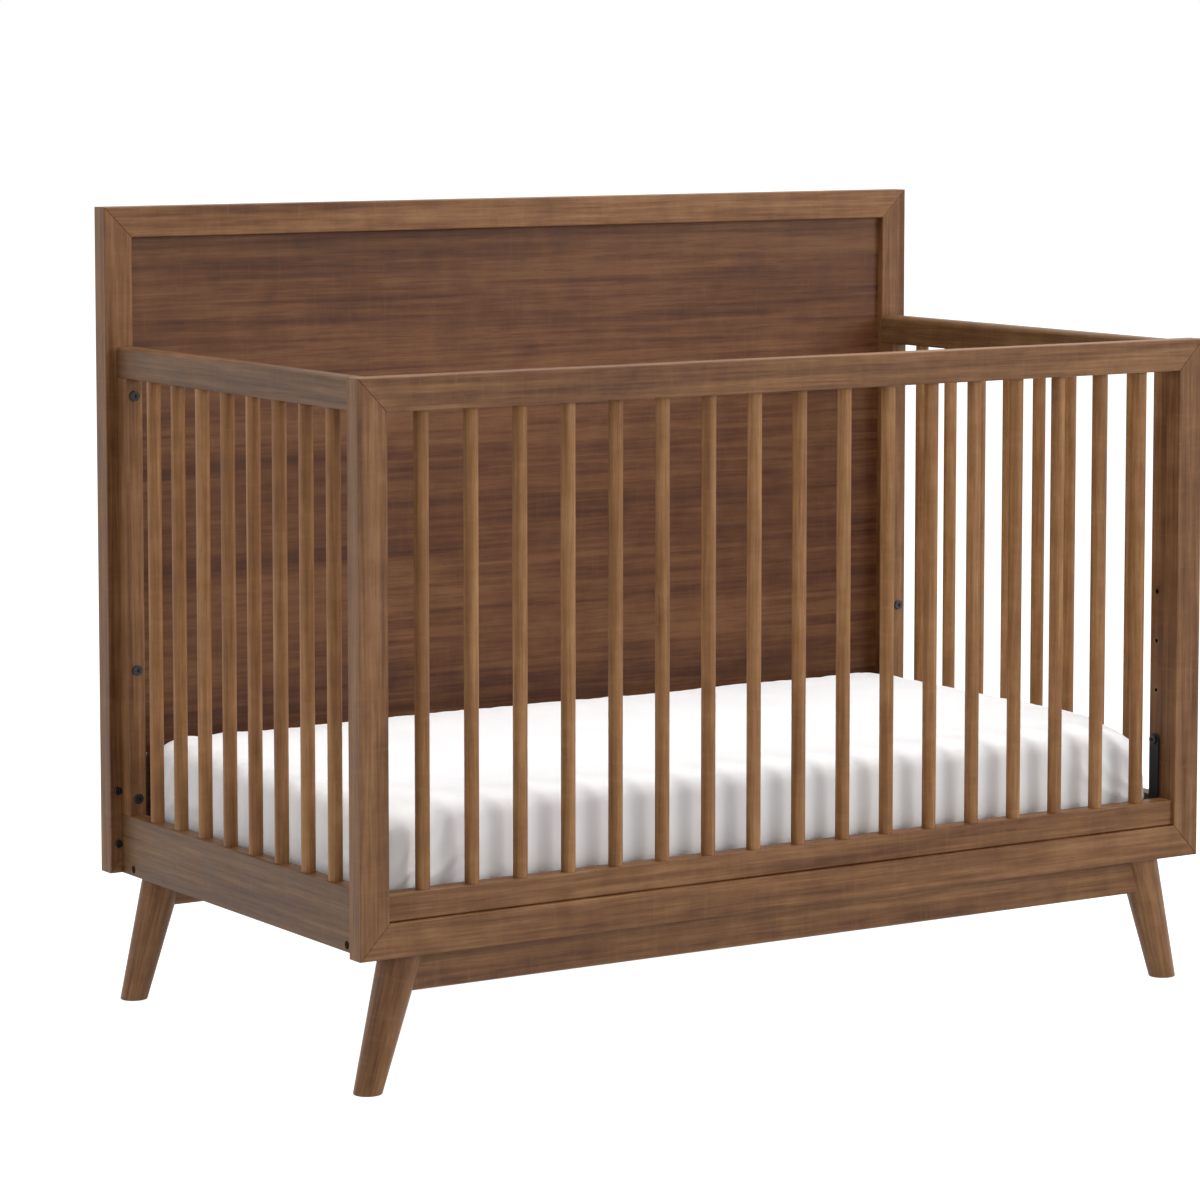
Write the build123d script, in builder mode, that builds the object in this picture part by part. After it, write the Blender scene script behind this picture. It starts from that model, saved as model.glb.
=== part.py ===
"""Baby crib: framed headboard, spindle front and ends, splayed legs, height-adjustable mattress support.

Sizes are in millimetres.  X runs along the crib, -Y is the spindle front, +Y is the headboard and Z is up.
The origin is on the floor, in the middle of the crib's outline.
"""
from build123d import *
import os

os.makedirs("parts", exist_ok=True)

# Overall size
LENGTH = 1430.0
DEPTH = 768.0
HEIGHT = 1156.0
UNDERSIDE = 187.0  # floor to the bottom of every rail and post

# Front panel: a mitred frame round an inner rail and a row of spindles
FRONT_TOP = 957.0
FRONT_THICK = 31.0
POST_WIDTH = 44.0
FRONT_TOP_RAIL = 46.0
BOTTOM_RAIL = 47.0
SPINDLE_RAIL_HEIGHT = 38.0
SPINDLE_RAIL_DEPTH = 28.0
SPINDLE_RAIL_RECESS = 6.0
SHADOW_CHAMFER = 2.5  # lower front edge of the inner rail, which leaves a shadow line

# Headboard: a mitred frame with a recessed panel in a groove
HEAD_THICK = 32.0
HEAD_TOP_RAIL = 44.0
PANEL_THICK = 12.0
PANEL_RECESS = 12.0
PANEL_GROOVE = 6.0

# End panels, set in from the outer faces of the front and the headboard
END_INSET = 18.0
END_TOP = 955.0
END_TOP_RAIL_THICK = 28.0
END_TOP_RAIL_HEIGHT = 44.5
END_THICK = 26.0
END_BOTTOM_RAIL_HEIGHT = 87.0
STILE_WIDTH = 29.0

# Spindles
SPINDLE_RADIUS = 10.0
SOCKET_DEPTH = 10.0
FRONT_SPINDLES = 17
FRONT_PITCH = 76.25
FRONT_SPINDLE_SETBACK = 18.0  # front face to the spindles' axes
END_SPINDLES = 8
END_PITCH = 74.8

# Legs and stretchers
FOOT_X = 684.0
LEG_Y = 345.0
LEG_SLOPE = 0.277  # sideways lean for each unit of height
FOOT_RADIUS = 19.2
LEG_TAPER = 0.052  # growth of the radius for each unit along the leg
LEG_SPARE = 20.0  # length that the level cuts at the foot and the top take off
STRETCHER_THICK = 30.0
STRETCHER_HEIGHT = 53.0
STRETCHER_ROUND = 6.0
COPE_CLEARANCE = 0.05

# Corner blocks that tie the legs to the rails
BLOCK_LENGTH = 80.0
BLOCK_WIDTH = 55.0
BLOCK_HEIGHT = 28.0

# Mattress support: a steel angle frame with a wire grid, hung on four straps
SUPPORT_HOLES = (358.0, 432.0, 506.0, 580.0)  # heights of the holes for the straps
DECK_TOP = 246.0
WIRE_RADIUS = 2.0
WIRE_GAP = 0.05  # between crossing wires, where the weld spots are
CROSS_WIRES = 13
CROSS_PITCH = 100.0
LONG_WIRES = 5
LONG_PITCH = 105.0
ANGLE_LEG = 25.0
ANGLE_THICK = 2.5
SUPPORT_HALF_WIDTH = 345.0
STRAP_THICK = 3.0
STRAP_WIDTH = 20.0
STRAP_GAP = 0.4  # strap to stile
STRAP_ABOVE_HOLE = 9.0

# Mattress and its fitted sheet
MATTRESS_LENGTH = 1318.0
MATTRESS_WIDTH = 692.0
MATTRESS_HEIGHT = 140.0
MATTRESS_CORNER = 34.0
MATTRESS_EDGE = 28.0
SHEET_THICK = 1.0
SHEET_HEM = 90.0  # how far the sheet reaches in under the mattress

# Fasteners
BOLT_RADIUS = 3.0
PANEL_BOLT_LENGTH = 40.0
PANEL_BOLT_HEIGHTS = (299.0, 487.0, 885.0)
PANEL_HEAD_RADIUS = 7.5
PANEL_HEAD_HEIGHT = 3.0
SIDE_BOLT_LENGTH = 28.0
SIDE_BOLT_HEIGHTS = (230.0, 308.0)
SIDE_BOLT_OUT = 6.2  # from the end panel's face
SIDE_HEAD_RADIUS = 5.8
SIDE_HEAD_HEIGHT = 4.0
SUPPORT_HEAD_RADIUS = 7.0
SUPPORT_HEAD_HEIGHT = 3.5
BASE_BOLT_Y = 315.0
BASE_BOLT_HEIGHT = 197.0
COUNTERBORE_RADIUS = 6.0
COUNTERBORE_DEPTH = 10.0
SOCKET_KEY_RADIUS = 2.6
SOCKET_KEY_DEPTH = 2.0
HEAD_ROUND = 0.8
INSERT_RADIUS = 5.0
INSERT_LENGTH = 13.0
LEG_BOLT_RADIUS = 4.0
LEG_BOLT_IN_LEG = 45.0
LEG_BOLT_IN_BLOCK = 24.0

# Edge rounding of the timber
EDGE_ROUND = 1.5
MITRE_CHAMFER = 0.8
TOP_RAIL_ROUND = 7.0

# Places that follow from the driving dimensions
HALF_LENGTH = LENGTH / 2
FRONT_FACE = -DEPTH / 2
FRONT_BACK = FRONT_FACE + FRONT_THICK
HEAD_BACK = DEPTH / 2
HEAD_FACE = HEAD_BACK - HEAD_THICK
OPENING_HALF = HALF_LENGTH - POST_WIDTH
BOTTOM_RAIL_TOP = UNDERSIDE + BOTTOM_RAIL
SPINDLE_RAIL_TOP = BOTTOM_RAIL_TOP + SPINDLE_RAIL_HEIGHT
FRONT_RAIL_LOW = FRONT_TOP - FRONT_TOP_RAIL
FRONT_SPINDLE_Y = FRONT_FACE + FRONT_SPINDLE_SETBACK
END_FACE = HALF_LENGTH - END_INSET
END_INNER = END_FACE - END_THICK
END_SPINDLE_X = END_FACE - END_THICK / 2
END_RAIL_LOW = END_TOP - END_TOP_RAIL_HEIGHT
END_BOTTOM_TOP = UNDERSIDE + END_BOTTOM_RAIL_HEIGHT
LEG_TOP_X = FOOT_X - LEG_SLOPE * UNDERSIDE
STRAP_OUTER = END_INNER - STRAP_GAP
STRAP_INNER = STRAP_OUTER - STRAP_THICK
FLANGE_TOP = DECK_TOP - 2 * WIRE_RADIUS
SUPPORT_OPENING_X = STRAP_INNER - ANGLE_LEG
FRONT_STILE_Y = FRONT_BACK + STILE_WIDTH / 2
REAR_STILE_Y = HEAD_FACE - STILE_WIDTH / 2

SIDES = (("left", -1), ("right", 1))
BOTTOM_UP = (Align.CENTER, Align.CENTER, Align.MIN)
AXIS_X = Vector(1, 0, 0)
AXIS_Y = Vector(0, 1, 0)
AXIS_Z = Vector(0, 0, 1)


def save(builder, label):
    """Names a finished piece and writes it."""
    builder.part.label = label
    export_step(builder.part, f"parts/{label}.step")


def spread(count, pitch):
    """Centres of `count` pieces at an even pitch, about the middle."""
    return [(i - (count - 1) / 2) * pitch for i in range(count)]


def rod(start, direction, radius, length, mode=Mode.ADD):
    """A round bar or, with Mode.SUBTRACT, a round hole, from `start` along `direction`."""
    with Locations(Plane(origin=start, z_dir=direction)):
        Cylinder(radius, length, align=BOTTOM_UP, mode=mode)


def block(low, high, mode=Mode.ADD):
    """A box given by its lowest and highest corners."""
    size = Vector(*high) - Vector(*low)
    middle = (Vector(*high) + Vector(*low)) / 2
    with Locations(middle):
        Box(size.X, size.Y, size.Z, mode=mode)


# The places where the panels are bolted together: (point on the stile's face, direction of the bolt)
panel_bolt_places = []
for side_sign in (-1, 1):
    for bolt_z in PANEL_BOLT_HEIGHTS:
        front_head = Vector(side_sign * END_SPINDLE_X, FRONT_BACK + STILE_WIDTH, bolt_z)
        rear_head = Vector(side_sign * END_SPINDLE_X, HEAD_FACE - STILE_WIDTH, bolt_z)
        panel_bolt_places.append((front_head, -AXIS_Y))
        panel_bolt_places.append((rear_head, AXIS_Y))

# Bolts through the face of the headboard's posts, and through the end rails into the corner blocks
head_bolt_places = [
    (Vector(side_sign * (END_FACE + SIDE_BOLT_OUT), HEAD_FACE, bolt_z), AXIS_Y)
    for side_sign in (-1, 1)
    for bolt_z in SIDE_BOLT_HEIGHTS
]
base_bolt_places = [
    (
        Vector(side_sign * (END_FACE - COUNTERBORE_DEPTH), y_sign * BASE_BOLT_Y, BASE_BOLT_HEIGHT),
        AXIS_X * -side_sign,
    )
    for side_sign in (-1, 1)
    for y_sign in (-1, 1)
]

# Threaded holes for the straps: (point on the stile's inner face, direction into the stile)
support_hole_places = [
    (Vector(side_sign * END_INNER, stile_y, hole_z), AXIS_X * side_sign)
    for side_sign in (-1, 1)
    for stile_y in (FRONT_STILE_Y, REAR_STILE_Y)
    for hole_z in SUPPORT_HOLES
]
leg_bolt_places = [
    Vector(side_sign * LEG_TOP_X, y_sign * LEG_Y, UNDERSIDE)
    for side_sign in (-1, 1)
    for y_sign in (-1, 1)
]
front_spindle_x = spread(FRONT_SPINDLES, FRONT_PITCH)
end_spindle_y = spread(END_SPINDLES, END_PITCH)


# ---------------------------------------------------------------- timber frames
def mitred_member(corners, face_y, thickness, grain):
    """A frame member with mitred ends: its outline seen from the front, and the Y of its front face."""
    with BuildPart() as member:
        with BuildSketch(Plane.XZ.offset(-face_y)):
            with BuildLine():
                Polyline(*corners, close=True)
            make_face()
        extrude(amount=-thickness)
        mitres = member.edges().filter_by(lambda e: abs(e.tangent_at(0.5).X * e.tangent_at(0.5).Z) > 0.1)
        chamfer(mitres, MITRE_CHAMFER)
        fillet(member.edges().filter_by(grain).filter_by(lambda e: e.length > POST_WIDTH), EDGE_ROUND)
    return member


def frame_outlines(top, top_rail):
    """Outlines of the four members of a mitred frame: left post, right post, top rail, bottom rail."""
    out, gap = HALF_LENGTH, OPENING_HALF
    low, sill, head = UNDERSIDE, BOTTOM_RAIL_TOP, top - top_rail
    left = [(-out, low), (-gap, sill), (-gap, head), (-out, top)]
    right = [(out, low), (out, top), (gap, head), (gap, sill)]
    upper = [(-out, top), (-gap, head), (gap, head), (out, top)]
    lower = [(-out, low), (out, low), (gap, sill), (-gap, sill)]
    return left, right, upper, lower


def bolt_into_post(side_sign, direction, face_y):
    """Holes in a post for the panel bolts and their threaded inserts."""
    for bolt_z in PANEL_BOLT_HEIGHTS:
        mouth = (side_sign * END_SPINDLE_X, face_y, bolt_z)
        rod(mouth, direction, INSERT_RADIUS, INSERT_LENGTH, Mode.SUBTRACT)


front_outlines = frame_outlines(FRONT_TOP, FRONT_TOP_RAIL)
for (side, side_sign), outline in zip(SIDES, front_outlines[:2]):
    front_post = mitred_member(outline, FRONT_FACE, FRONT_THICK, Axis.Z)
    with front_post:
        bolt_into_post(side_sign, -AXIS_Y, FRONT_BACK)
    save(front_post, f"front_post_{side}")

front_top_rail = mitred_member(front_outlines[2], FRONT_FACE, FRONT_THICK, Axis.X)
with front_top_rail:
    for x in front_spindle_x:
        rod((x, FRONT_SPINDLE_Y, FRONT_RAIL_LOW), AXIS_Z, SPINDLE_RADIUS, SOCKET_DEPTH, Mode.SUBTRACT)
save(front_top_rail, "front_top_rail")

front_bottom_rail = mitred_member(front_outlines[3], FRONT_FACE, FRONT_THICK, Axis.X)
save(front_bottom_rail, "front_bottom_rail")

with BuildPart() as front_spindle_rail:
    rail_front = FRONT_FACE + SPINDLE_RAIL_RECESS
    block(
        (-OPENING_HALF, rail_front, BOTTOM_RAIL_TOP),
        (OPENING_HALF, rail_front + SPINDLE_RAIL_DEPTH, SPINDLE_RAIL_TOP),
    )
    long_edges = front_spindle_rail.edges().filter_by(Axis.X)
    chamfer(long_edges.group_by(Axis.Z)[0].sort_by(Axis.Y)[0], SHADOW_CHAMFER)
    fillet(front_spindle_rail.edges().filter_by(Axis.X).group_by(Axis.Z)[-1], EDGE_ROUND)
    for x in front_spindle_x:
        rod((x, FRONT_SPINDLE_Y, SPINDLE_RAIL_TOP), -AXIS_Z, SPINDLE_RADIUS, SOCKET_DEPTH, Mode.SUBTRACT)
save(front_spindle_rail, "front_spindle_rail")

for number, x in enumerate(front_spindle_x, start=1):
    with BuildPart() as front_spindle:
        spindle_low = SPINDLE_RAIL_TOP - SOCKET_DEPTH
        spindle_length = FRONT_RAIL_LOW + SOCKET_DEPTH - spindle_low
        rod((x, FRONT_SPINDLE_Y, spindle_low), AXIS_Z, SPINDLE_RADIUS, spindle_length)
    save(front_spindle, f"front_spindle_{number:02d}")

# ---------------------------------------------------------------- headboard
head_outlines = frame_outlines(HEIGHT, HEAD_TOP_RAIL)
panel_low = (-OPENING_HALF - PANEL_GROOVE, HEAD_FACE + PANEL_RECESS, BOTTOM_RAIL_TOP - PANEL_GROOVE)
panel_high = (
    OPENING_HALF + PANEL_GROOVE,
    HEAD_FACE + PANEL_RECESS + PANEL_THICK,
    HEIGHT - HEAD_TOP_RAIL + PANEL_GROOVE,
)

for (side, side_sign), outline in zip(SIDES, head_outlines[:2]):
    head_post = mitred_member(outline, HEAD_FACE, HEAD_THICK, Axis.Z)
    with head_post:
        block(panel_low, panel_high, Mode.SUBTRACT)
        bolt_into_post(side_sign, AXIS_Y, HEAD_FACE)
        for place, direction in head_bolt_places:
            rod(place, direction, BOLT_RADIUS, SIDE_BOLT_LENGTH, Mode.SUBTRACT)
    save(head_post, f"headboard_post_{side}")

for name, outline in zip(("top", "bottom"), head_outlines[2:]):
    head_rail = mitred_member(outline, HEAD_FACE, HEAD_THICK, Axis.X)
    with head_rail:
        block(panel_low, panel_high, Mode.SUBTRACT)
    save(head_rail, f"headboard_{name}_rail")

with BuildPart() as headboard_panel:
    block(panel_low, panel_high)
save(headboard_panel, "headboard_panel")

# ---------------------------------------------------------------- end panels
for side, side_sign in SIDES:
    inward = AXIS_X * -side_sign
    outer = side_sign * END_FACE
    inner = side_sign * END_INNER
    low_x, high_x = sorted((outer, inner))
    top_low_x, top_high_x = sorted((outer, side_sign * (END_FACE - END_TOP_RAIL_THICK)))

    with BuildPart() as end_top_rail:
        block((top_low_x, FRONT_BACK, END_RAIL_LOW), (top_high_x, HEAD_FACE, END_TOP))
        fillet(end_top_rail.edges().filter_by(Axis.Y).group_by(Axis.Z)[-1], TOP_RAIL_ROUND)
        fillet(end_top_rail.edges().filter_by(Axis.Y).group_by(Axis.Z)[0], EDGE_ROUND)
        for y in end_spindle_y:
            low = (side_sign * END_SPINDLE_X, y, END_RAIL_LOW)
            rod(low, AXIS_Z, SPINDLE_RADIUS, SOCKET_DEPTH, Mode.SUBTRACT)
    save(end_top_rail, f"end_top_rail_{side}")

    with BuildPart() as end_bottom_rail:
        block((low_x, FRONT_BACK, UNDERSIDE), (high_x, HEAD_FACE, END_BOTTOM_TOP))
        fillet(end_bottom_rail.edges().filter_by(Axis.Y), EDGE_ROUND)
        for y in end_spindle_y:
            top = (side_sign * END_SPINDLE_X, y, END_BOTTOM_TOP)
            rod(top, -AXIS_Z, SPINDLE_RADIUS, SOCKET_DEPTH, Mode.SUBTRACT)
        for y_sign in (-1, 1):
            hole = (outer, y_sign * BASE_BOLT_Y, BASE_BOLT_HEIGHT)
            rod(hole, inward, COUNTERBORE_RADIUS, COUNTERBORE_DEPTH, Mode.SUBTRACT)
            rod(hole, inward, BOLT_RADIUS, END_THICK, Mode.SUBTRACT)
    save(end_bottom_rail, f"end_bottom_rail_{side}")

    for name, stile_y, into_post in (("front", FRONT_STILE_Y, -AXIS_Y), ("rear", REAR_STILE_Y, AXIS_Y)):
        with BuildPart() as stile:
            block(
                (low_x, stile_y - STILE_WIDTH / 2, END_BOTTOM_TOP),
                (high_x, stile_y + STILE_WIDTH / 2, END_RAIL_LOW),
            )
            fillet(stile.edges().filter_by(Axis.Z), EDGE_ROUND)
            for bolt_z in PANEL_BOLT_HEIGHTS:
                head = Vector(side_sign * END_SPINDLE_X, stile_y, bolt_z) - into_post * (STILE_WIDTH / 2)
                rod(head, into_post, BOLT_RADIUS, STILE_WIDTH, Mode.SUBTRACT)
            for hole_z in SUPPORT_HOLES:
                rod((inner, stile_y, hole_z), -inward, INSERT_RADIUS, INSERT_LENGTH, Mode.SUBTRACT)
        save(stile, f"end_{name}_stile_{side}")

    with BuildPart() as end_spindles:
        spindle_low = END_BOTTOM_TOP - SOCKET_DEPTH
        spindle_length = END_RAIL_LOW + SOCKET_DEPTH - spindle_low
        for y in end_spindle_y:
            rod((side_sign * END_SPINDLE_X, y, spindle_low), AXIS_Z, SPINDLE_RADIUS, spindle_length)
    save(end_spindles, f"end_spindles_{side}")


# ---------------------------------------------------------------- legs, stretchers and corner blocks
def turned_leg(side_sign, y_sign, extra=0.0):
    """A tapered round leg that leans outwards along X, cut level at the foot and under the rails."""
    along = Vector(-side_sign * LEG_SLOPE, 0, 1)
    lean = along.length
    along = along.normalized()
    foot = Vector(side_sign * FOOT_X, y_sign * LEG_Y, 0)
    blank = UNDERSIDE * lean + 2 * LEG_SPARE
    low_radius = FOOT_RADIUS - LEG_TAPER * LEG_SPARE + extra
    with BuildPart() as leg:
        with Locations(Plane(origin=foot - along * LEG_SPARE, z_dir=along)):
            Cone(low_radius, low_radius + LEG_TAPER * blank, blank, align=BOTTOM_UP)
        split(bisect_by=Plane.XY, keep=Keep.TOP)
        split(bisect_by=Plane.XY.offset(UNDERSIDE), keep=Keep.BOTTOM)
    return leg


for row, y_sign in (("front", -1), ("rear", 1)):
    for side, side_sign in SIDES:
        leg = turned_leg(side_sign, y_sign)
        with leg:
            fillet(leg.edges().group_by(Axis.Z)[0], EDGE_ROUND)
            hole_top = (side_sign * LEG_TOP_X, y_sign * LEG_Y, UNDERSIDE)
            rod(hole_top, -AXIS_Z, LEG_BOLT_RADIUS, LEG_BOLT_IN_LEG, Mode.SUBTRACT)
        save(leg, f"{row}_leg_{side}")

    cope_left = turned_leg(-1, y_sign, COPE_CLEARANCE)
    cope_right = turned_leg(1, y_sign, COPE_CLEARANCE)
    with BuildPart() as stretcher:
        near = y_sign * LEG_Y - STRETCHER_THICK / 2
        stretcher_low = (-LEG_TOP_X, near, UNDERSIDE - STRETCHER_HEIGHT)
        stretcher_high = (LEG_TOP_X, near + STRETCHER_THICK, UNDERSIDE)
        block(stretcher_low, stretcher_high)
        fillet(stretcher.edges().filter_by(Axis.X).group_by(Axis.Z)[0], STRETCHER_ROUND)
        add(cope_left.part, mode=Mode.SUBTRACT)
        add(cope_right.part, mode=Mode.SUBTRACT)
    save(stretcher, f"{row}_stretcher")

with BuildPart() as corner_blocks:
    for side_sign in (-1, 1):
        for wall_y, y_sign in ((FRONT_BACK, -1), (HEAD_FACE, 1)):
            near_x, far_x = sorted((side_sign * END_INNER, side_sign * (END_INNER - BLOCK_LENGTH)))
            near_y, far_y = sorted((wall_y, wall_y - y_sign * BLOCK_WIDTH))
            block((near_x, near_y, UNDERSIDE), (far_x, far_y, UNDERSIDE + BLOCK_HEIGHT))
    for place in leg_bolt_places:
        rod(place, AXIS_Z, LEG_BOLT_RADIUS, LEG_BOLT_IN_BLOCK, Mode.SUBTRACT)
    for place, direction in base_bolt_places:
        rod(place, direction, BOLT_RADIUS, SIDE_BOLT_LENGTH, Mode.SUBTRACT)
save(corner_blocks, "corner_blocks")

# ---------------------------------------------------------------- mattress support
for side, side_sign in SIDES:
    outer, inner = side_sign * STRAP_INNER, side_sign * SUPPORT_OPENING_X
    web = side_sign * (STRAP_INNER - ANGLE_THICK)
    with BuildPart() as support_end:
        for edge, floor in ((inner, FLANGE_TOP - ANGLE_THICK), (web, FLANGE_TOP - ANGLE_LEG)):
            near_x, far_x = sorted((outer, edge))
            block((near_x, -SUPPORT_HALF_WIDTH, floor), (far_x, SUPPORT_HALF_WIDTH, FLANGE_TOP))
    save(support_end, f"support_end_angle_{side}")

for row, y_sign in (("front", -1), ("rear", 1)):
    outer = y_sign * SUPPORT_HALF_WIDTH
    flange = y_sign * (SUPPORT_HALF_WIDTH - ANGLE_LEG)
    web = y_sign * (SUPPORT_HALF_WIDTH - ANGLE_THICK)
    with BuildPart() as support_side:
        for edge, floor in ((flange, FLANGE_TOP - ANGLE_THICK), (web, FLANGE_TOP - ANGLE_LEG)):
            near_y, far_y = sorted((outer, edge))
            block((-SUPPORT_OPENING_X, near_y, floor), (SUPPORT_OPENING_X, far_y, FLANGE_TOP))
    save(support_side, f"support_side_angle_{row}")

with BuildPart() as support_wires:
    cross_z = DECK_TOP - WIRE_RADIUS
    long_z = cross_z - 2 * WIRE_RADIUS - WIRE_GAP
    cross_half = SUPPORT_HALF_WIDTH - ANGLE_THICK
    for x in spread(CROSS_WIRES, CROSS_PITCH):
        rod((x, -cross_half, cross_z), AXIS_Y, WIRE_RADIUS, 2 * cross_half)
    for y in spread(LONG_WIRES, LONG_PITCH):
        rod((-SUPPORT_OPENING_X, y, long_z), AXIS_X, WIRE_RADIUS, 2 * SUPPORT_OPENING_X)
save(support_wires, "support_wires")

strap_places = [
    (f"{row}_{side}", side_sign, stile_y)
    for row, stile_y in (("front", FRONT_STILE_Y), ("rear", REAR_STILE_Y))
    for side, side_sign in SIDES
]
for name, side_sign, stile_y in strap_places:
    with BuildPart() as strap:
        near_x, far_x = sorted((side_sign * STRAP_INNER, side_sign * STRAP_OUTER))
        strap_low = FLANGE_TOP - ANGLE_LEG
        strap_high = SUPPORT_HOLES[0] + STRAP_ABOVE_HOLE
        block(
            (near_x, stile_y - STRAP_WIDTH / 2, strap_low),
            (far_x, stile_y + STRAP_WIDTH / 2, strap_high),
        )
        fillet(strap.edges().filter_by(Axis.X).group_by(Axis.Z)[-1], STRAP_WIDTH / 2 - 1)
        hole = (side_sign * STRAP_INNER, stile_y, SUPPORT_HOLES[0])
        rod(hole, AXIS_X * side_sign, BOLT_RADIUS, STRAP_THICK, Mode.SUBTRACT)
    save(strap, f"support_strap_{name}")


# ---------------------------------------------------------------- mattress
def rounded_pad(length, width, low, high, corner, edge):
    """A pad with rounded corners and softly rounded edges, standing between two heights."""
    with BuildPart() as pad:
        with BuildSketch(Plane.XY.offset(low)):
            RectangleRounded(length, width, corner)
        extrude(amount=high - low)
        fillet(pad.faces().filter_by(Axis.Z).edges(), edge)
    return pad


mattress_top = DECK_TOP + MATTRESS_HEIGHT
mattress = rounded_pad(
    MATTRESS_LENGTH - 2 * SHEET_THICK,
    MATTRESS_WIDTH - 2 * SHEET_THICK,
    DECK_TOP + SHEET_THICK,
    mattress_top - SHEET_THICK,
    MATTRESS_CORNER - SHEET_THICK,
    MATTRESS_EDGE - SHEET_THICK,
)
save(mattress, "mattress")

fitted_sheet = rounded_pad(
    MATTRESS_LENGTH, MATTRESS_WIDTH, DECK_TOP, mattress_top, MATTRESS_CORNER, MATTRESS_EDGE
)
with fitted_sheet:
    add(mattress.part, mode=Mode.SUBTRACT)
    hem_x = MATTRESS_LENGTH / 2 - SHEET_HEM
    hem_y = MATTRESS_WIDTH / 2 - SHEET_HEM
    block((-hem_x, -hem_y, DECK_TOP), (hem_x, hem_y, DECK_TOP + SHEET_THICK), Mode.SUBTRACT)
save(fitted_sheet, "fitted_sheet")


# ---------------------------------------------------------------- fasteners
def bolt_group(places, length, head_radius, head_height):
    """Socket-head bolts: each place is the point under the head, with the direction of the shank."""
    with BuildPart() as bolts:
        for place, direction in places:
            head_top = place - direction * head_height
            rod(head_top, direction, head_radius, head_height)
            rod(place, direction, BOLT_RADIUS, length)
        rims = bolts.edges().filter_by(GeomType.CIRCLE)
        fillet(rims.filter_by(lambda e: abs(e.radius - head_radius) < 0.01), HEAD_ROUND)
        for place, direction in places:
            with BuildSketch(Plane(origin=place - direction * head_height, z_dir=direction)):
                RegularPolygon(SOCKET_KEY_RADIUS, 6)
            extrude(amount=SOCKET_KEY_DEPTH, mode=Mode.SUBTRACT)
    return bolts


panel_bolts = bolt_group(panel_bolt_places, PANEL_BOLT_LENGTH, PANEL_HEAD_RADIUS, PANEL_HEAD_HEIGHT)
save(panel_bolts, "panel_bolts")

side_bolts = bolt_group(
    head_bolt_places + base_bolt_places, SIDE_BOLT_LENGTH, SIDE_HEAD_RADIUS, SIDE_HEAD_HEIGHT
)
save(side_bolts, "side_bolts")

support_bolt_places = [
    (Vector(side_sign * STRAP_INNER, stile_y, SUPPORT_HOLES[0]), AXIS_X * side_sign)
    for name, side_sign, stile_y in strap_places
]
support_bolts = bolt_group(support_bolt_places, STRAP_THICK, SUPPORT_HEAD_RADIUS, SUPPORT_HEAD_HEIGHT)
save(support_bolts, "support_bolts")

with BuildPart() as threaded_inserts:
    insert_places = [
        (place + direction * STILE_WIDTH, direction) for place, direction in panel_bolt_places
    ] + support_hole_places
    for place, direction in insert_places:
        rod(place, direction, INSERT_RADIUS, INSERT_LENGTH)
        rod(place, direction, BOLT_RADIUS, INSERT_LENGTH, Mode.SUBTRACT)
save(threaded_inserts, "threaded_inserts")

with BuildPart() as leg_bolts:
    for place in leg_bolt_places:
        rod(place - AXIS_Z * LEG_BOLT_IN_LEG, AXIS_Z, LEG_BOLT_RADIUS, LEG_BOLT_IN_LEG + LEG_BOLT_IN_BLOCK)
save(leg_bolts, "leg_bolts")
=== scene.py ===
"""Baby crib: materials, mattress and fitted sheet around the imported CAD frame.

Everything is in metres in the row frame: X along the crib, -Y the spindle front, Z up.
"""
import math

import bmesh
import bpy
from mathutils import Euler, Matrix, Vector, noise


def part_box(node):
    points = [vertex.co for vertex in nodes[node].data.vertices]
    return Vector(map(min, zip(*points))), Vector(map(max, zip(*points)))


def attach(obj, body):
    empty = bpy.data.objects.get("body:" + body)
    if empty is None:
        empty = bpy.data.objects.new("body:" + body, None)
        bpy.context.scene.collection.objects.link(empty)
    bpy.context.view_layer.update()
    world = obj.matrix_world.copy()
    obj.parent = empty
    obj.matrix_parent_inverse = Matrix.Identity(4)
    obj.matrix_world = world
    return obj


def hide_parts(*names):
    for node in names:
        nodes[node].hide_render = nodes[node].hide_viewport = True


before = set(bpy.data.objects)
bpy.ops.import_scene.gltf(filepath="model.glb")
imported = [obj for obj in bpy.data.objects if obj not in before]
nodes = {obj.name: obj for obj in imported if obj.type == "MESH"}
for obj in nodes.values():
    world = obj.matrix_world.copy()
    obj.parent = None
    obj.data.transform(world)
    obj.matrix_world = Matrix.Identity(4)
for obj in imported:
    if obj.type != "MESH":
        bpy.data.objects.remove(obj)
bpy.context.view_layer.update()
scene = bpy.context.scene

# Camera: where it stands, how it is turned, and its lens
CAMERA_PLACE = (-3.48649, -5.28381, 1.38894)
CAMERA_YAW = 32.693
CAMERA_PITCH = 5.465
CAMERA_LENS = 130.38
CAMERA_SHIFT_Y = -0.11667

AIR = 0.66  # strength of the even light that fills the shadows

# Lights: name, place, the point it faces, watts, width, height
LIGHTS = (
    ("key_light", (4.0, -5.2, 2.9), (0, 0, 0.75), 160, 2.4, 2.4),
    ("left_fill", (-4.6, 2.2, 1.9), (0, 0, 0.6), 40, 2.4, 2.4),
    ("top_light", (0.2, -0.3, 4.4), (0, 0, 0.4), 124, 2.6, 2.0),
)

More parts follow.
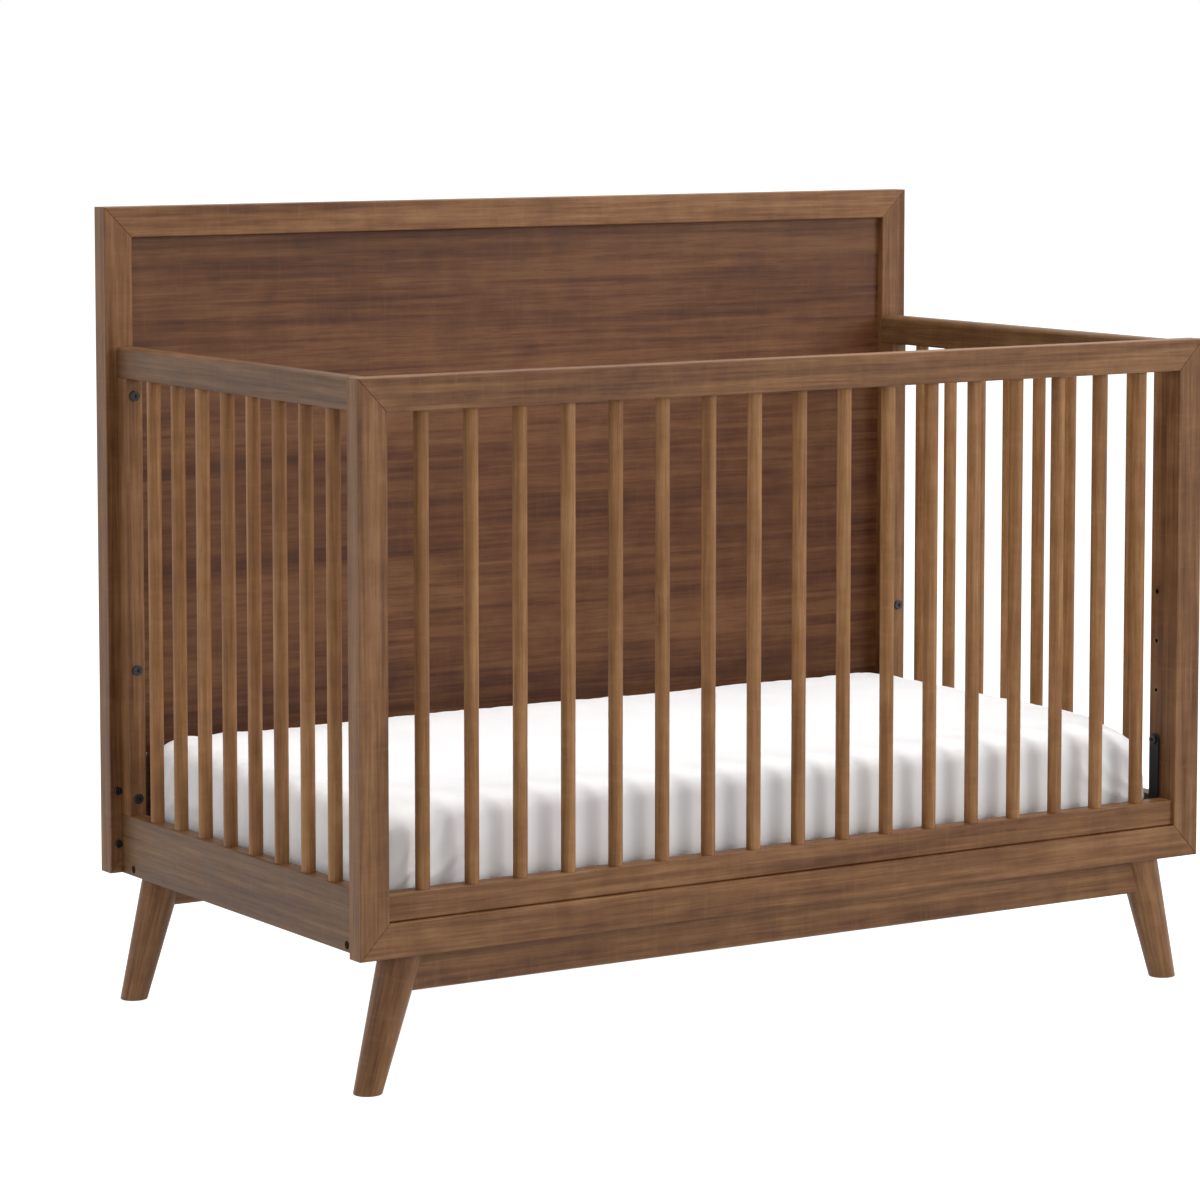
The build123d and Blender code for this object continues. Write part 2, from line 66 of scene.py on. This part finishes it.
# Mattress and sheet
VOXEL = 0.008
START_INSET = 0.002  # the pad swells, so it starts smaller than the room it has
CLOTH_FRAMES = 20
CLOTH_PRESSURE = 4.0
MOVE_CAP = 0.004
SHEET_THICK = 0.0007
CORE_GAP = 0.003
HEM_REACH = 0.09
CORNER_PULL = 0.009  # how far the sheet pulls each upright corner out square
CORNER_SOFT = 0.13  # how far from a corner its droop begins
CORNER_PULL_REACH = 0.06
FAN_DEPTH = 0.0016  # creases that fan out from each lower corner
FAN_CREASES = 17
FAN_MIDDLE = 0.12
FAN_REACH = 0.13
EDGE_MIDDLE = 0.018  # how far in from the side the edge creases are deepest
EDGE_REACH = 0.07
SLANT_DEPTH = 0.0015
FINE_DEPTH = 0.0010
BROAD_DEPTH = 0.0016
RIPPLE_DEPTH = 0.0007
LOOSE_X = 0.004  # how far past the CAD mattress the cloth may reach
LOOSE_Y = 0.002
LOOSE_Z = 0.0004
HEM_WAVE = 0.006
# Droop of each top corner: (side of X, side of Y) to a height
CORNER_DROOP = {(1, -1): 0.026, (-1, -1): 0.020, (1, 1): 0.006, (-1, 1): 0.004}


# ---------------------------------------------------------------- node helpers
class Graph:
    """A material's node tree, built one node at a time."""

    def __init__(self, name):
        self.material = bpy.data.materials.new(name)
        self.material.use_nodes = True
        self.tree = self.material.node_tree
        self.tree.nodes.clear()
        self.output = self.add("ShaderNodeOutputMaterial")
        self.shader = self.add("ShaderNodeBsdfPrincipled")
        self.link(self.shader.outputs["BSDF"], self.output.inputs["Surface"])

    def add(self, kind, **values):
        node = self.tree.nodes.new(kind)
        for key, value in values.items():
            setattr(node, key, value)
        return node

    def link(self, source, target):
        self.tree.links.new(source, target)

    def feed(self, socket, value):
        """Sets a socket to a number, or links it to another socket."""
        if isinstance(value, bpy.types.NodeSocket):
            self.link(value, socket)
        else:
            socket.default_value = value

    def place(self, scale, turn=(0, 0, 0), shift=(0, 0, 0)):
        coordinates = self.add("ShaderNodeTexCoord")
        mapping = self.add("ShaderNodeMapping")
        self.link(coordinates.outputs["Object"], mapping.inputs["Vector"])
        mapping.inputs["Location"].default_value = shift
        mapping.inputs["Rotation"].default_value = turn
        mapping.inputs["Scale"].default_value = scale
        return mapping.outputs["Vector"]

    def noise(self, vector, scale, detail=3.0, roughness=0.55, distortion=0.0):
        node = self.add("ShaderNodeTexNoise")
        self.link(vector, node.inputs["Vector"])
        node.inputs["Scale"].default_value = scale
        node.inputs["Detail"].default_value = detail
        node.inputs["Roughness"].default_value = roughness
        node.inputs["Distortion"].default_value = distortion
        return node.outputs["Fac"]

    def math(self, operation, a, b=0.0, clamp=False):
        node = self.add("ShaderNodeMath", operation=operation, use_clamp=clamp)
        self.feed(node.inputs[0], a)
        self.feed(node.inputs[1], b)
        return node.outputs[0]

    def vector_math(self, operation, a, b):
        node = self.add("ShaderNodeVectorMath", operation=operation)
        self.feed(node.inputs[0], a)
        self.feed(node.inputs[1], b)
        return node.outputs[0]

    def span(self, value, low, high, out_low=0.0, out_high=1.0):
        node = self.add("ShaderNodeMapRange")
        self.feed(node.inputs["Value"], value)
        node.inputs["From Min"].default_value = low
        node.inputs["From Max"].default_value = high
        node.inputs["To Min"].default_value = out_low
        node.inputs["To Max"].default_value = out_high
        return node.outputs["Result"]

    def ramp(self, value, stops):
        node = self.add("ShaderNodeValToRGB")
        elements = node.color_ramp.elements
        while len(elements) < len(stops):
            elements.new(0.5)
        for element, (position, colour) in zip(elements, stops):
            element.position = position
            element.color = (*colour, 1.0)
        self.feed(node.inputs["Fac"], value)
        return node.outputs["Color"]

    def mix(self, factor, a, b, blend="MIX"):
        node = self.add("ShaderNodeMix", data_type="RGBA", blend_type=blend)
        self.feed(node.inputs["Factor"], factor)
        self.feed(node.inputs["A"], a if isinstance(a, bpy.types.NodeSocket) else (*a, 1.0))
        self.feed(node.inputs["B"], b if isinstance(b, bpy.types.NodeSocket) else (*b, 1.0))
        return node.outputs["Result"]

    def bump(self, height, strength, distance):
        node = self.add("ShaderNodeBump")
        node.inputs["Strength"].default_value = strength
        node.inputs["Distance"].default_value = distance
        self.link(height, node.inputs["Height"])
        self.link(node.outputs["Normal"], self.shader.inputs["Normal"])


def srgb(red, green, blue):
    """Linear colour from 8-bit display values."""
    def linear(value):
        value /= 255
        return value / 12.92 if value <= 0.04045 else ((value + 0.055) / 1.055) ** 2.4
    return linear(red), linear(green), linear(blue)


# ---------------------------------------------------------------- timber
GRAIN_TURN = {
    "x": (0, 0, 0),
    "y": (0, 0, math.radians(90)),
    "z": (0, math.radians(90), 0),
}


def timber(name, along, dark, middle, light, turn=None, shift=(0, 0, 0), figure=1.0, gloss=0.42):
    """Stained timber under satin lacquer: fine grain, soft bands, pores and faint cross marks."""
    graph = Graph(name)
    straight = graph.place((1, 1, 1), turn or GRAIN_TURN[along], shift)

    def cells(stretch, scale, detail, roughness, distortion=0.0):
        drawn = graph.vector_math("MULTIPLY", straight, (1.0, stretch, stretch))
        return graph.noise(drawn, scale, detail, roughness, distortion)

    lines = cells(30.0, 7.0, 3.0, 0.65)
    streaks = cells(34.0, 2.2, 3.0, 0.6, 0.25)
    bands = cells(12.0, 1.3, 2.0, 0.5, 0.4)
    pores = cells(22.0, 30.0, 2.0, 0.6)
    mottle = graph.noise(straight, 22.0, 3.0, 0.6)
    chatter = graph.noise(graph.vector_math("MULTIPLY", straight, (9.0, 1.0, 1.0)), 13.0, 2.0, 0.55)

    tone = 0.5
    for layer, weight in ((lines, 0.95), (streaks, 1.1 * figure), (bands, 0.9 * figure), (mottle, 0.6)):
        tone = graph.math("ADD", tone, graph.math("MULTIPLY", graph.math("SUBTRACT", layer, 0.5), weight))
    colour = graph.ramp(tone, [(0.12, dark), (0.5, middle), (0.88, light)])
    dash = graph.span(streaks, 0.60, 0.72)
    colour = graph.mix(graph.math("MULTIPLY", dash, 0.35 * figure), colour, dark)
    streak = graph.span(pores, 0.58, 0.74)
    colour = graph.mix(graph.math("MULTIPLY", streak, 0.45), colour, dark)
    cross = graph.span(chatter, 0.56, 0.74)
    colour = graph.mix(graph.math("MULTIPLY", cross, 0.16), colour, light)
    graph.link(colour, graph.shader.inputs["Base Color"])

    roughness = graph.span(graph.math("ADD", pores, mottle), 0.7, 1.3, gloss - 0.06, gloss + 0.12)
    graph.link(roughness, graph.shader.inputs["Roughness"])
    graph.shader.inputs["Specular IOR Level"].default_value = 0.22
    raised = graph.math("MULTIPLY", lines, 0.35)
    height = graph.math("SUBTRACT", raised, graph.math("MULTIPLY", streak, 0.65))
    graph.bump(height, 0.3, 0.0005)
    return graph.material


FRAME_TONES = (srgb(85, 50, 24), srgb(115, 77, 44), srgb(141, 102, 66))
END_TONES = (srgb(72, 44, 22), srgb(96, 66, 39), srgb(119, 87, 56))
PANEL_TONES = (srgb(68, 35, 17), srgb(93, 56, 30), srgb(114, 76, 45))
SPINDLE_TONES = (srgb(106, 67, 34), srgb(136, 93, 52), srgb(164, 121, 78))
RAW_TONES = (srgb(176, 138, 96), srgb(203, 168, 124), srgb(222, 192, 150))

wood_x = timber("walnut_along_x", "x", *FRAME_TONES)
wood_z = timber("walnut_upright", "z", *FRAME_TONES, shift=(0.37, 0.2, 0.1))
wood_y = timber("walnut_along_y", "y", *END_TONES, shift=(0.1, 0.5, 0.3))
wood_panel = timber("panel_board", "x", *PANEL_TONES, shift=(0.6, 0.1, 0.9), figure=1.15, gloss=0.46)
wood_spindle = timber("honey_dowel", "z", *SPINDLE_TONES, shift=(0.2, 0.9, 0.4), figure=0.8, gloss=0.46)
wood_raw = timber("raw_block", "x", *RAW_TONES, gloss=0.7)
leg_lean = math.atan(0.277)
wood_leg = {
    "left": timber("walnut_leg_left", "z", *FRAME_TONES, turn=(0, math.radians(90) - leg_lean, 0)),
    "right": timber("walnut_leg_right", "z", *FRAME_TONES, turn=(0, math.radians(90) + leg_lean, 0)),
}


# ---------------------------------------------------------------- metal
def coated_steel(name, colour, roughness, grain):
    """Powder-coated steel: a fine orange-peel texture with slight wear in its gloss."""
    graph = Graph(name)
    spot = graph.place((1, 1, 1))
    peel = graph.noise(spot, 900.0, 2.0, 0.5)
    cloud = graph.noise(spot, 25.0, 3.0, 0.6)
    dull = [channel * 0.8 for channel in colour]
    bright = [channel * 1.25 for channel in colour]
    tint = graph.mix(graph.span(cloud, 0.3, 0.7), dull, bright)
    graph.link(tint, graph.shader.inputs["Base Color"])
    worn = graph.span(cloud, 0.3, 0.7, roughness - 0.06, roughness + 0.08)
    graph.link(worn, graph.shader.inputs["Roughness"])
    graph.shader.inputs["Specular IOR Level"].default_value = 0.5
    graph.bump(peel, grain, 0.0003)
    return graph.material


def plated_steel(name, colour):
    """Zinc or brass plated steel with turning marks."""
    graph = Graph(name)
    spot = graph.place((1, 1, 1))
    lathe = graph.noise(graph.vector_math("MULTIPLY", spot, (6.0, 1.0, 1.0)), 500.0, 2.0, 0.6)
    cloud = graph.noise(spot, 60.0, 2.0, 0.6)
    tint = graph.mix(graph.span(cloud, 0.3, 0.7), [c * 0.8 for c in colour], colour)
    graph.link(tint, graph.shader.inputs["Base Color"])
    graph.shader.inputs["Metallic"].default_value = 1.0
    graph.link(graph.span(lathe, 0.3, 0.7, 0.26, 0.42), graph.shader.inputs["Roughness"])
    graph.bump(lathe, 0.15, 0.0002)
    return graph.material


black_steel = coated_steel("black_steel_finish", srgb(13, 13, 14), 0.45, 0.12)
grey_steel = coated_steel("grey_steel_finish", srgb(92, 92, 94), 0.45, 0.2)
bolt_steel = coated_steel("bolt_finish", srgb(16, 16, 18), 0.2, 0.04)
zinc_steel = plated_steel("plated_steel_finish", srgb(122, 100, 70))


# ---------------------------------------------------------------- fabric
def woven(name, colour, shade, threads, weave, fuzz):
    """A plain-weave cloth: crossed threads with slubs, and a soft sheen at glancing angles."""
    graph = Graph(name)
    spot = graph.place((1, 1, 1))
    split = graph.add("ShaderNodeSeparateXYZ")
    graph.link(spot, split.inputs["Vector"])
    waves = []
    for axis in ("X", "Y", "Z"):
        turns = graph.math("MULTIPLY", split.outputs[axis], threads)
        waves.append(graph.math("SINE", turns))
    over = graph.math("MULTIPLY", waves[0], waves[1])
    side = graph.math("MULTIPLY", graph.math("ADD", waves[0], waves[1]), waves[2])
    thread = graph.math("ADD", over, graph.math("MULTIPLY", side, 0.5))
    slub = graph.noise(graph.vector_math("MULTIPLY", spot, (1.0, 5.0, 5.0)), 60.0, 3.0, 0.6)
    cloud = graph.noise(spot, 7.0, 3.0, 0.55)
    tint = graph.mix(graph.span(cloud, 0.3, 0.7), shade, colour)
    tint = graph.mix(graph.span(slub, 0.45, 0.8, 0.0, 0.35), tint, shade)
    graph.link(tint, graph.shader.inputs["Base Color"])
    graph.shader.inputs["Roughness"].default_value = 0.9
    graph.shader.inputs["Specular IOR Level"].default_value = 0.25
    graph.shader.inputs["Sheen Weight"].default_value = 0.25
    graph.shader.inputs["Sheen Roughness"].default_value = 0.5
    height = graph.math("ADD", graph.math("MULTIPLY", thread, weave), graph.math("MULTIPLY", slub, fuzz))
    graph.bump(height, 0.25, 0.0004)
    return graph.material


sheet_cotton = woven("sheet_cotton_cloth", srgb(248, 248, 248), srgb(240, 241, 243), 9000.0, 0.4, 0.5)
mattress_ticking = woven("mattress_ticking", srgb(232, 232, 228), srgb(216, 216, 212), 3600.0, 0.6, 0.6)


# ---------------------------------------------------------------- finishes on the CAD pieces
def dress(name, material):
    """Gives a CAD piece one material all over."""
    for slot in nodes[name].material_slots:
        slot.material = material


for name in nodes:
    if name.startswith("end_spindles_") or name.startswith("front_spindle_") and name[-1].isdigit():
        dress(name, wood_spindle)
    elif "_leg_" in name:
        dress(name, wood_leg[name.rsplit("_", 1)[1]])
    elif name == "headboard_panel":
        dress(name, wood_panel)
    elif "post" in name or "stile" in name:
        dress(name, wood_z)
    elif name.startswith("end_") and "rail" in name:
        dress(name, wood_y)
    elif "rail" in name or "stretcher" in name:
        dress(name, wood_x)
    elif name == "corner_blocks":
        dress(name, wood_raw)
    elif name in ("threaded_inserts", "leg_bolts"):
        dress(name, zinc_steel)
    elif name.endswith("_bolts"):
        dress(name, bolt_steel)
    elif name.startswith("support_strap"):
        dress(name, black_steel)
    elif name.startswith("support_"):
        dress(name, grey_steel)


# ---------------------------------------------------------------- mattress core and sheet
def new_object(name, vertices, faces):
    mesh = bpy.data.meshes.new(name)
    mesh.from_pydata(vertices, [], faces)
    mesh.update()
    piece = bpy.data.objects.new(name, mesh)
    scene.collection.objects.link(piece)
    return piece


def smooth(piece):
    for polygon in piece.data.polygons:
        polygon.use_smooth = True


def bake_modifiers(piece):
    """Replaces a piece's mesh with what its modifiers make of it."""
    graph = bpy.context.evaluated_depsgraph_get()
    made = bpy.data.meshes.new_from_object(piece.evaluated_get(graph))
    piece.modifiers.clear()
    piece.data = made


def ease(value):
    value = min(max(value, 0.0), 1.0)
    return value * value * (3 - 2 * value)


pad_low, pad_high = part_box("mattress")
pad_centre = (pad_low + pad_high) / 2
pad_half = (pad_high - pad_low) / 2


def closed_pad(name):
    """The mattress's shape as an even mesh of small faces, a little smaller than its room."""
    piece = bpy.data.objects.new(name, nodes["mattress"].data.copy())
    scene.collection.objects.link(piece)
    for vertex in piece.data.vertices:
        away = vertex.co - pad_centre
        for axis in range(3):
            away[axis] *= 1 - START_INSET / pad_half[axis]
        vertex.co = pad_centre + away
    remesh = piece.modifiers.new("even", "REMESH")
    remesh.mode = "VOXEL"
    remesh.voxel_size = VOXEL
    bake_modifiers(piece)
    return piece


def swell(piece):
    """Blows the pad up as cloth for a moment, and caps how far each point may move."""
    before = [vertex.co.copy() for vertex in piece.data.vertices]
    underside = piece.vertex_groups.new(name="underside")
    low = pad_low.z + 0.012
    underside.add([v.index for v in piece.data.vertices if v.co.z < low], 1.0, "REPLACE")
    cloth = piece.modifiers.new("swell", "CLOTH")
    cloth.settings.quality = 5
    cloth.settings.tension_stiffness = 12
    cloth.settings.compression_stiffness = 12
    cloth.settings.bending_stiffness = 0.4
    cloth.settings.use_pressure = True
    cloth.settings.uniform_pressure_force = CLOTH_PRESSURE
    cloth.settings.shrink_min = -0.012
    cloth.settings.vertex_group_mass = underside.name
    cloth.settings.effector_weights.gravity = 0
    cloth.collision_settings.use_collision = False
    cloth.point_cache.frame_start = 1
    cloth.point_cache.frame_end = CLOTH_FRAMES
    for step in range(1, CLOTH_FRAMES + 1):
        scene.frame_set(step)
    bake_modifiers(piece)
    piece.vertex_groups.clear()
    for vertex, start in zip(piece.data.vertices, before):
        move = vertex.co - start
        if move.length > MOVE_CAP:
            vertex.co = start + move * (MOVE_CAP / move.length)
    scene.frame_set(1)


def corner_distance(point, sides):
    corner_x = pad_centre.x + sides[0] * pad_half.x
    corner_y = pad_centre.y + sides[1] * pad_half.y
    return math.hypot(point.x - corner_x, point.y - corner_y)


def settle(piece):
    """Droops the top corners, squares the upright ones and adds a fitted sheet's creases."""
    mesh = piece.data
    height = pad_high.z - pad_low.z
    starts = [(vertex.co.copy(), vertex.normal.copy()) for vertex in mesh.vertices]
    for vertex, (point, normal) in zip(mesh.vertices, starts):
        rise = ease((point.z - pad_low.z) / height)
        drop = 0.0
        crease = 0.0
        pull = Vector()
        for sides, depth in CORNER_DROOP.items():
            away = corner_distance(point, sides)
            near = ease(1 - away / CORNER_SOFT)
            drop += depth * near * rise
            outward = CORNER_PULL * ease(1 - away / CORNER_PULL_REACH)
            pull += Vector((*sides, 0)) * outward * (1 - 0.5 * rise)
            reach = math.hypot(away, point.z - pad_low.z)
            angle = math.atan2(point.z - pad_low.z, away)
            sway = noise.noise(point * 9 + Vector((*sides, 0)))
            fan = math.sin(angle * FAN_CREASES + 5 * sway)
            crease += FAN_DEPTH * max(fan, -0.3) * ease(1 - abs(reach - FAN_MIDDLE) / FAN_REACH)
        edge_x = pad_half.x - abs(point.x - pad_centre.x)
        edge_y = pad_half.y - abs(point.y - pad_centre.y)
        at_edge = ease(1 - abs(min(edge_x, edge_y) - EDGE_MIDDLE) / EDGE_REACH) * rise
        slant = Vector((point.x * 21 + point.y * 13, point.y * 7 - point.x * 4, point.z * 9))
        crease += SLANT_DEPTH * noise.noise(slant) * at_edge
        fine = Vector((point.x * 60, point.y * 14, point.z * 8))
        crease += FINE_DEPTH * noise.noise(fine) * at_edge
        soft = BROAD_DEPTH * noise.noise(point * 5.0) + RIPPLE_DEPTH * noise.noise(point * 17.0)
        moved = point + pull + normal * (crease + soft * rise)
        moved.z -= drop
        moved.z = max(moved.z, pad_low.z - LOOSE_Z)
        moved.x = min(max(moved.x, pad_low.x - LOOSE_X), pad_high.x + LOOSE_X)
        moved.y = min(max(moved.y, pad_low.y - LOOSE_Y), pad_high.y + LOOSE_Y)
        vertex.co = moved
    mesh.update()


def finer(piece):
    """Divides every face once and smooths it."""
    surface = piece.modifiers.new("finer", "SUBSURF")
    surface.levels = 1
    surface.render_levels = 1
    bake_modifiers(piece)


def inner_copy(piece, name, depth):
    copy = bpy.data.objects.new(name, piece.data.copy())
    scene.collection.objects.link(copy)
    places = [vertex.co - vertex.normal * depth for vertex in piece.data.vertices]
    for vertex, place in zip(copy.data.vertices, places):
        vertex.co = place
    copy.data.update()
    return copy


def open_underneath(piece):
    """Cuts the sheet's underside away inside its elastic hem, and gives the cloth its thickness."""
    mesh = bmesh.new()
    mesh.from_mesh(piece.data)
    inside_x = pad_half.x - HEM_REACH
    inside_y = pad_half.y - HEM_REACH
    gone = []
    for face in mesh.faces:
        middle = face.calc_center_median()
        ripple = HEM_WAVE * noise.noise(middle * 30)
        if (
            middle.z < pad_low.z + 0.02
            and abs(middle.x - pad_centre.x) < inside_x + ripple
            and abs(middle.y - pad_centre.y) < inside_y + ripple
        ):
            gone.append(face)
    bmesh.ops.delete(mesh, geom=gone, context="FACES")
    mesh.to_mesh(piece.data)
    mesh.free()
    skin = piece.modifiers.new("cloth_thickness", "SOLIDIFY")
    skin.thickness = SHEET_THICK
    skin.offset = -1
    bake_modifiers(piece)


pad = closed_pad("fitted_sheet_cloth")
swell(pad)
finer(pad)
settle(pad)
core = inner_copy(pad, "mattress_core", CORE_GAP)
open_underneath(pad)
smooth(pad)
smooth(core)
pad.data.materials.clear()
pad.data.materials.append(sheet_cotton)
core.data.materials.clear()
core.data.materials.append(mattress_ticking)
for piece, node_name, slot in (
    (pad, "fitted_sheet", "sheet_cotton"),
    (core, "mattress", "mattress_cover"),
):
    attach(piece, "bedding")
    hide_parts(node_name)


# ---------------------------------------------------------------- stage, light and camera
def emitter(name, diffuse, glow):
    """White paper that also glows evenly."""
    graph = Graph(name)
    graph.shader.inputs["Base Color"].default_value = (diffuse, diffuse, diffuse, 1)
    graph.shader.inputs["Roughness"].default_value = 0.9
    graph.shader.inputs["Specular IOR Level"].default_value = 0.0
    graph.shader.inputs["Emission Color"].default_value = (1, 1, 1, 1)
    graph.shader.inputs["Emission Strength"].default_value = glow
    return graph.material


def studio():
    """A pale paper floor inside a white dome, and dim air for the shadows."""
    size = 60.0
    floor = new_object(
        "studio_floor",
        [(-size, -size, 0), (size, -size, 0), (size, size, 0), (-size, size, 0)],
        [(0, 1, 2, 3)],
    )
    floor.data.materials.append(emitter("floor_paper", 0.35, 0.92))
    bands, turns = 12, 48
    points, faces = [], []
    for band in range(bands + 1):
        rise = math.radians(90 * band / bands)
        for turn in range(turns):
            bearing = 2 * math.pi * turn / turns
            points.append((
                size * 0.9 * math.cos(rise) * math.cos(bearing),
                size * 0.9 * math.cos(rise) * math.sin(bearing),
                size * 0.9 * math.sin(rise) - 1.0,
            ))
    for band in range(bands):
        for turn in range(turns):
            after = (turn + 1) % turns
            low, high = band * turns, (band + 1) * turns
            faces.append((low + after, low + turn, high + turn, high + after))
    dome = new_object("studio_dome", points, faces)
    dome.data.materials.append(emitter("dome_white", 0.0, 1.0))
    dome.visible_diffuse = False
    dome.visible_shadow = False
    floor.visible_diffuse = False
    world = bpy.data.worlds.new("studio_air")
    scene.world = world
    world.use_nodes = True
    background = world.node_tree.nodes["Background"]
    background.inputs["Color"].default_value = (1.0, 1.0, 1.0, 1)
    background.inputs["Strength"].default_value = AIR


def area_light(name, place, target, power, width, height):
    light = bpy.data.lights.new(name, "AREA")
    light.shape = "RECTANGLE"
    light.size = width
    light.size_y = height
    light.energy = power
    lamp = bpy.data.objects.new(name, light)
    scene.collection.objects.link(lamp)
    lamp.location = place
    aim = Vector(target) - Vector(place)
    lamp.rotation_euler = aim.to_track_quat("-Z", "Y").to_euler()


studio()
for light_values in LIGHTS:
    area_light(*light_values)

camera_data = bpy.data.cameras.new("studio_camera")
camera = bpy.data.objects.new("studio_camera", camera_data)
scene.collection.objects.link(camera)
camera.location = CAMERA_PLACE
camera.rotation_euler = Euler((math.radians(90 - CAMERA_PITCH), 0, math.radians(-CAMERA_YAW)), "XYZ")
camera_data.lens = CAMERA_LENS
camera_data.sensor_width = 36.0
camera_data.shift_y = CAMERA_SHIFT_Y
camera_data.clip_end = 200.0
scene.camera = camera
scene.view_settings.view_transform = "Standard"
